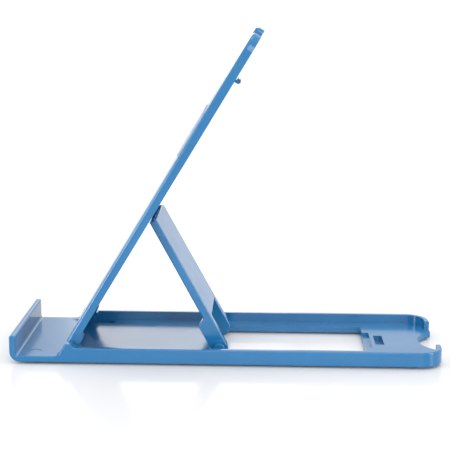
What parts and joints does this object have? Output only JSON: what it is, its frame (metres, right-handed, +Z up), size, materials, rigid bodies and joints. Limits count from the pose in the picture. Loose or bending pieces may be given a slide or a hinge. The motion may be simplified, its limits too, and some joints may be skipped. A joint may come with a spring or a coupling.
{
  "type": "folding tablet stand",
  "caption": "Folding plastic stand: a hinged back plate propped by a leg on a shallow base tray with a front lip, which all folds flat into the base.",
  "frame": {"origin": "middle of the base's footprint, on the table", "axes": "+X from the front lip to the open rear end, +Y to the left of a person facing the tablet, +Z up"},
  "size_m": [0.19, 0.063, 0.1458],
  "materials": {
    "blue_abs": "smooth glossy injection-moulded ABS, sky blue",
    "foot_rubber": "matt black rubber feet",
    "grip_pad": "matt grey anti-slip pad"
  },
  "bodies": {
    "base": {"base": "blue_abs", "feet": "foot_rubber"},
    "back_plate": {"back_plate": "blue_abs", "grip_pad": "grip_pad"},
    "prop_leg": {"prop_leg": "blue_abs"}
  },
  "joints": [
    {"name": "plate_hinge", "type": "hinge", "parent": "base", "child": "back_plate", "pos_m": [-0.06825, 0, 0.00435], "axis": [0, -1, 0], "range_deg": [-59, 7]},
    {"name": "prop_pivot", "type": "hinge", "parent": "base", "child": "prop_leg", "pos_m": [-0.0033, 0, 0.0044], "axis": [0, -1, 0], "range_deg": [-119, 14.2]}
  ],
  "couplings": [
    {"joint": "prop_pivot", "follows": "plate_hinge", "ratio": 2.0161}
  ]
}
